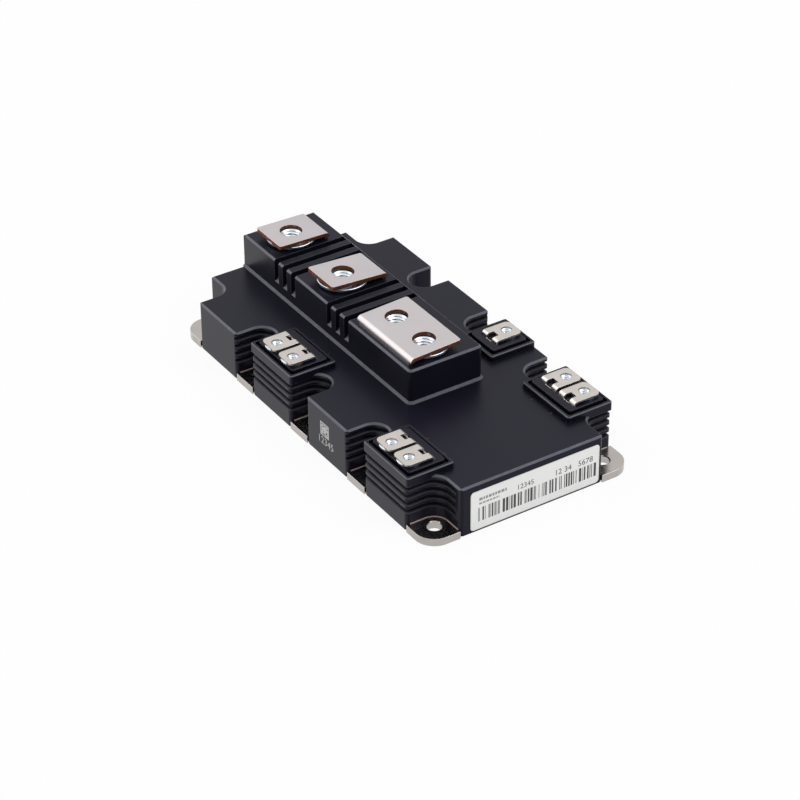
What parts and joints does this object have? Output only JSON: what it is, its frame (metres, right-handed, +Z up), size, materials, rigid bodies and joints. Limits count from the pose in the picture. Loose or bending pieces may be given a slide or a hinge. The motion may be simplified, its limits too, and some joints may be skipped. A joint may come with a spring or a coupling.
{
  "type": "igbt power module",
  "caption": "Dual power switch module: ribbed dark plastic housing on a nickel-plated copper base plate, screw terminals on a raised block, and auxiliary screw tabs along both long sides.",
  "frame": {"origin": "centre of the base plate's underside", "axes": "+X along the module towards the label end, +Y towards the side with three auxiliary tabs, +Z up from the heatsink face"},
  "size_m": [0.172, 0.089, 0.0395],
  "materials": {
    "nickel_plate": "satin nickel plating on copper",
    "sealant": "matt cured sealant",
    "housing": "fine moulded grain, dark blue grey",
    "terminal": "satin nickel plating on copper, copper showing at the cut edges",
    "aux_terminal": "satin plating",
    "zinc": "bright zinc plating",
    "label": "matt printed film",
    "ceramic": "unglazed",
    "copper": "bare copper",
    "silicon": "polished chip",
    "component": "glossy",
    "aluminium": "bright ribbon",
    "gel": "clear soft gel"
  },
  "bodies": {
    "root": {"base_plate": "nickel_plate", "sealant": "sealant", "housing": "housing", "dc_minus_terminal": "terminal", "dc_plus_terminal": "terminal", "output_terminal": "terminal", "m8_nuts": "zinc", "aux_terminal_1": "aux_terminal", "aux_terminal_2": "aux_terminal", "aux_terminal_3": "aux_terminal", "aux_terminal_4": "aux_terminal", "aux_terminal_5": "aux_terminal", "aux_terminal_6": "aux_terminal", "aux_terminal_7": "aux_terminal", "m4_nuts": "zinc", "label": "label", "ceramic_tile_1": "ceramic", "ceramic_tile_2": "ceramic", "ceramic_tile_3": "ceramic", "ceramic_tile_4": "ceramic", "tile_copper_1": "copper", "tile_copper_2": "copper", "tile_copper_3": "copper", "tile_copper_4": "copper", "igbt_chips": "silicon", "diode_chips": "silicon", "thermistor": "component", "bond_ribbons": "aluminium", "link_straps": "copper", "silicone_gel": "gel"}
  },
  "joints": []
}
